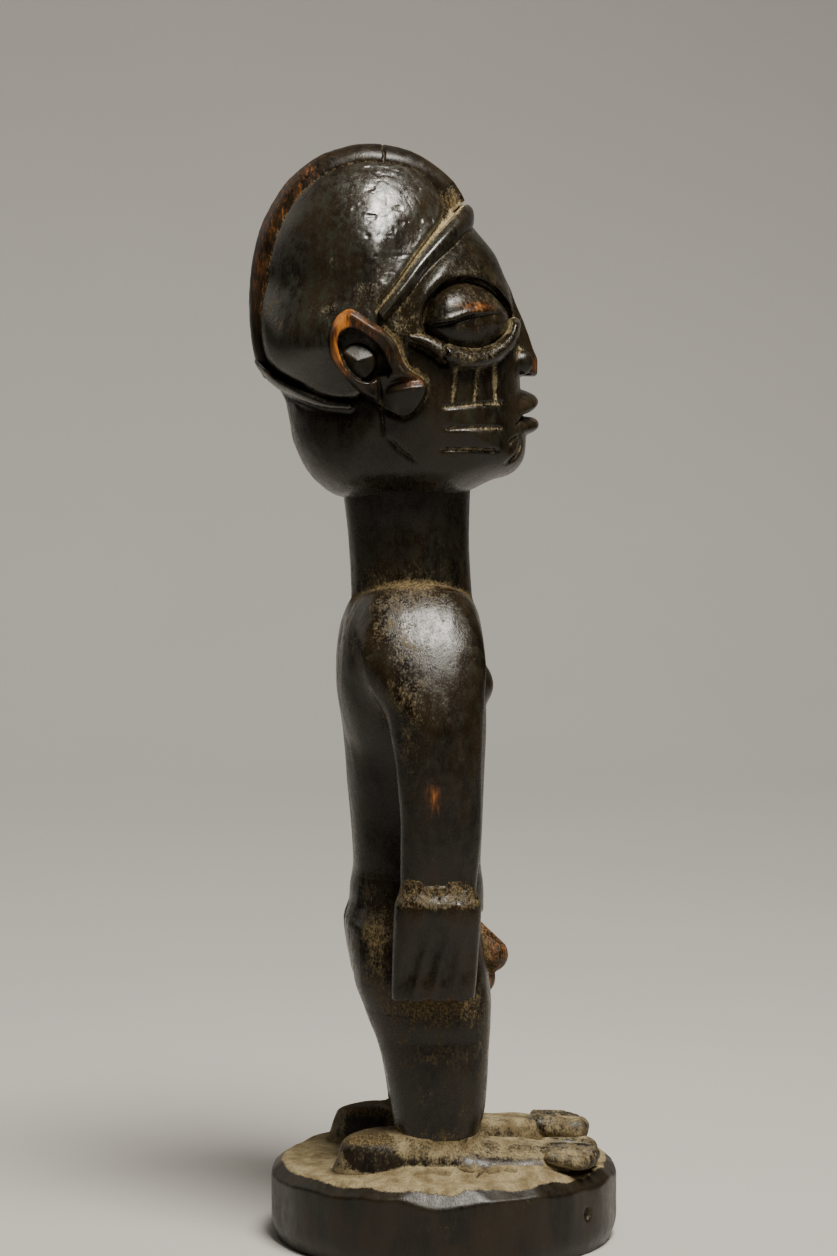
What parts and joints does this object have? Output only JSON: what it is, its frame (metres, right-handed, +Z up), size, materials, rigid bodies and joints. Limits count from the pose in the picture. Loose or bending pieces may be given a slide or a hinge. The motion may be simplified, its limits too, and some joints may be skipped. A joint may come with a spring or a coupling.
{
  "type": "carved twin figure",
  "caption": "Standing carved wooden figure with a tall neck, large crested head and hands on its thighs, on a round plinth that rests flat.",
  "frame": {"origin": "centre of the flat underside of the round plinth", "axes": "+Z up, the figure faces -Y, its right side is at -X"},
  "size_m": [0.087, 0.0917, 0.2722],
  "materials": {
    "dark_patina": "semi-gloss brown-black patina, handled smooth",
    "hair_patina": "semi-gloss grey-black patina with fine pocks",
    "worn_patina": "patina rubbed through to red-brown wood on raised edges",
    "dusty_patina": "dark patina under a pale dry crust of dust"
  },
  "bodies": {
    "root": {"plinth": "dusty_patina", "foot_right": "dusty_patina", "foot_left": "dusty_patina", "leg_right": "dark_patina", "leg_left": "dark_patina", "hips": "dark_patina", "loin_boss": "worn_patina", "torso": "dark_patina", "arm_right": "dark_patina", "arm_left": "dark_patina", "hand_right": "dark_patina", "hand_left": "dark_patina", "neck": "dark_patina", "head": "dark_patina", "hair_right": "hair_patina", "hair_left": "hair_patina", "hair_crest": "worn_patina", "hairline_right": "hair_patina", "hairline_left": "hair_patina", "nape_band_right": "hair_patina", "nape_band_left": "hair_patina", "ear_right": "worn_patina", "ear_left": "worn_patina", "eye_right": "dark_patina", "eye_left": "dark_patina", "lower_lid_right": "dark_patina", "lower_lid_left": "dark_patina"}
  },
  "joints": []
}
